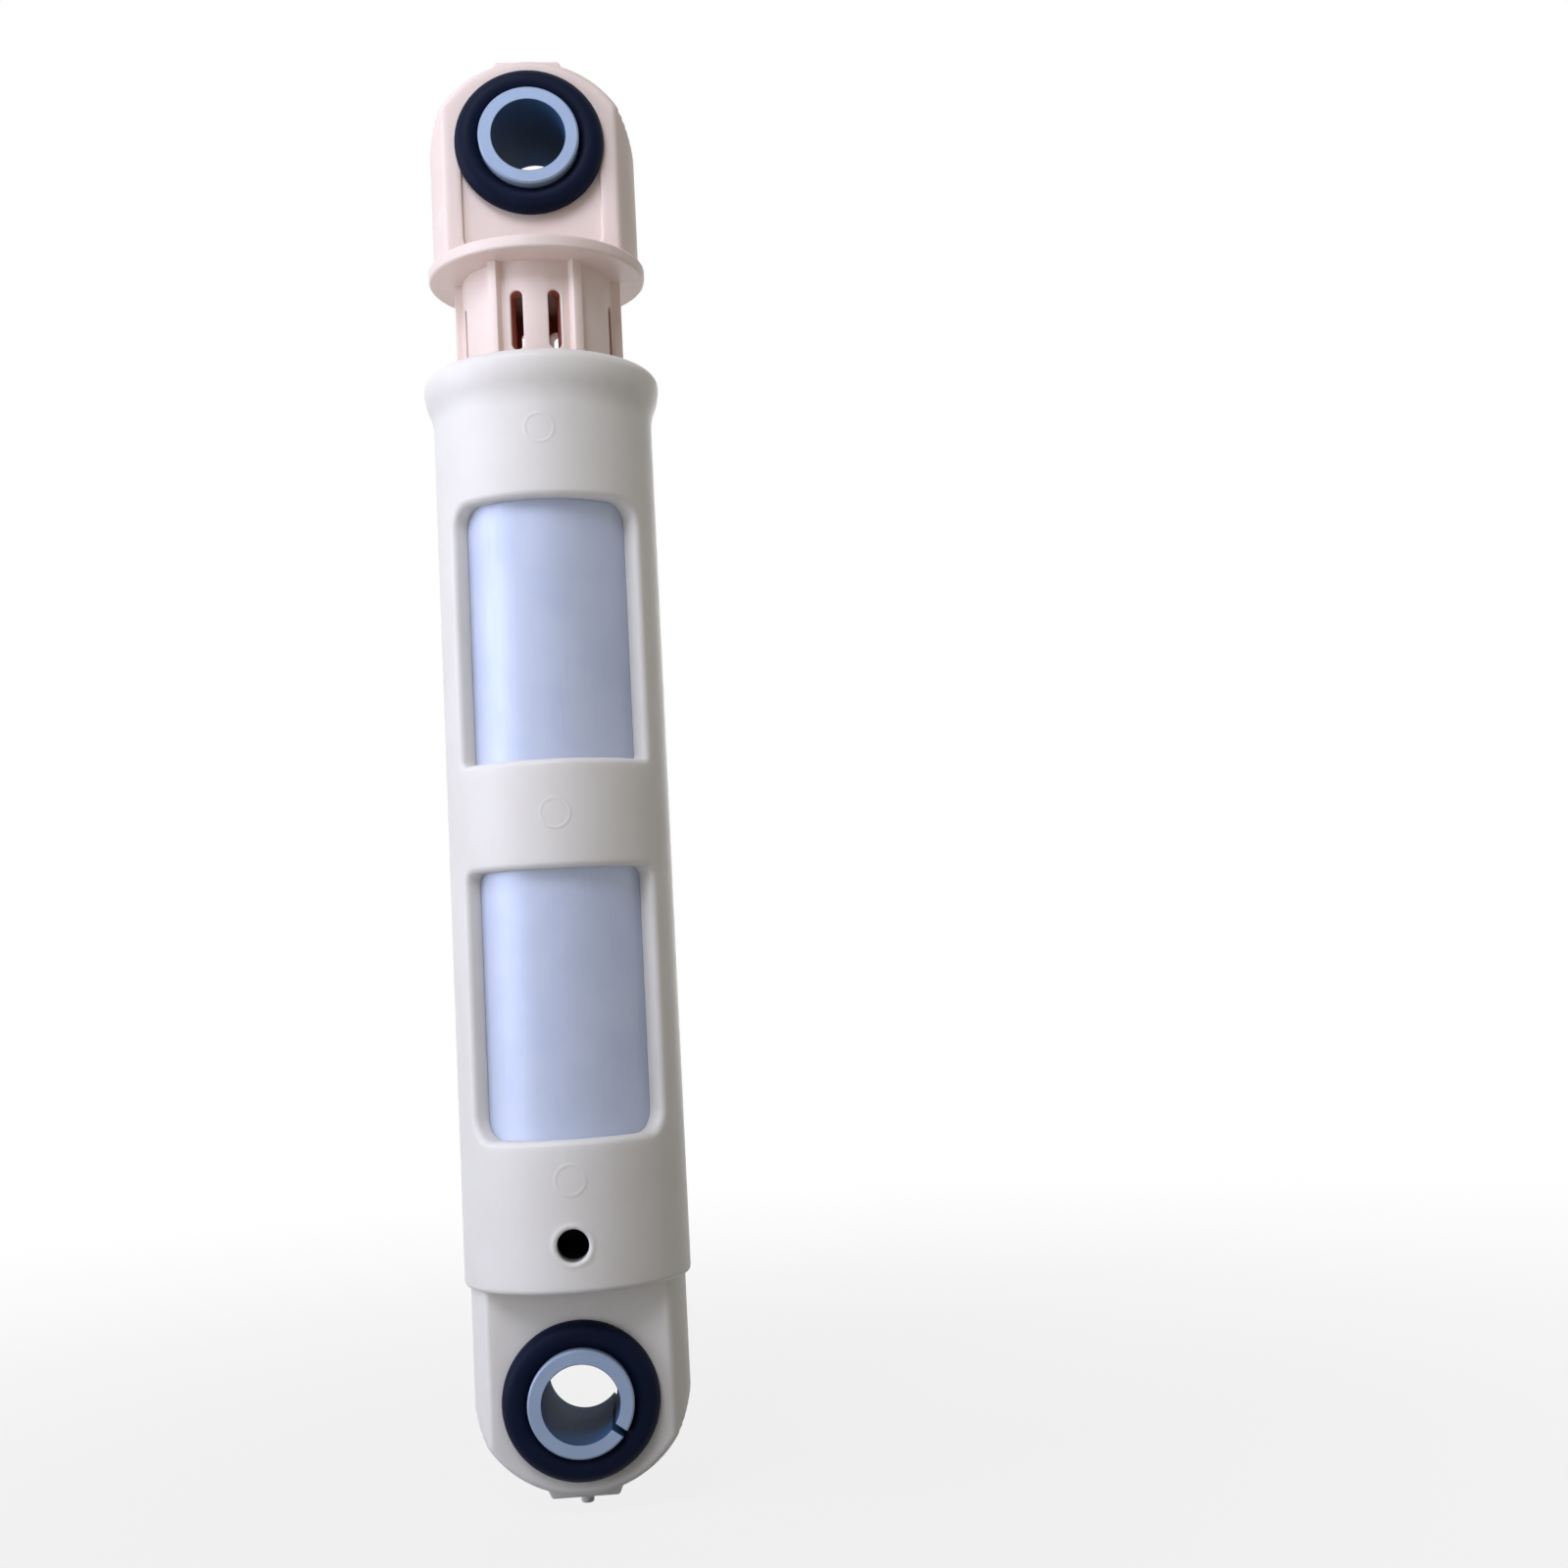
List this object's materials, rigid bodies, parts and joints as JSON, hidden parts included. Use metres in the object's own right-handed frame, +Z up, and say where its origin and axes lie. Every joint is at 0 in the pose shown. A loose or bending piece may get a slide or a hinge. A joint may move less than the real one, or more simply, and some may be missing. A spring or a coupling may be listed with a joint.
{
  "type": "friction damper",
  "caption": "Telescopic friction damper: a ribbed plunger slides in a windowed round housing with a steel liner; a rubber-bushed eye at each end takes a pin.",
  "frame": {"origin": "centre of the lower eye's bore", "axes": "+Z up the damper's axis from the lower eye to the upper eye, +Y along both eyes' bores, -Y the front with the breather hole"},
  "size_m": [0.0356, 0.0356, 0.2152],
  "materials": {
    "housing_plastic": "ivory moulded plastic, fine satin grain",
    "plunger_plastic": "warm beige moulded plastic, satin",
    "liner_zinc": "zinc-plated drawn steel tube, satin",
    "sleeve_steel": "zinc-plated rolled steel sleeve",
    "bush_rubber": "black moulded rubber",
    "lining_foam": "greased open-cell foam strip"
  },
  "bodies": {
    "housing": {"housing": "housing_plastic", "liner_tube": "liner_zinc", "lower_bush": "bush_rubber"},
    "lower_sleeve": {"lower_sleeve": "sleeve_steel"},
    "lining": {"friction_lining": "lining_foam"},
    "plunger": {"plunger": "plunger_plastic", "upper_bush": "bush_rubber"},
    "upper_sleeve": {"upper_sleeve": "sleeve_steel"}
  },
  "joints": [
    {"name": "plunger_slide", "type": "slide", "parent": "housing", "child": "lining", "axis": [0, 0, 1], "range_m": [-0.015, 0.065]},
    {"name": "plunger_swivel", "type": "hinge", "parent": "lining", "child": "plunger", "pos_m": [0, 0, 0.0555], "axis": [0, 0, 1], "continuous": true},
    {"name": "lower_sleeve_twist", "type": "hinge", "parent": "housing", "child": "lower_sleeve", "pos_m": [0, 0, 0], "axis": [0, 1, 0], "range_deg": [-12, 12], "stiffness_Nm_per_rad": 2},
    {"name": "upper_sleeve_twist", "type": "hinge", "parent": "plunger", "child": "upper_sleeve", "pos_m": [0, 0, 0.185], "axis": [0, 1, 0], "range_deg": [-12, 12], "stiffness_Nm_per_rad": 2}
  ]
}
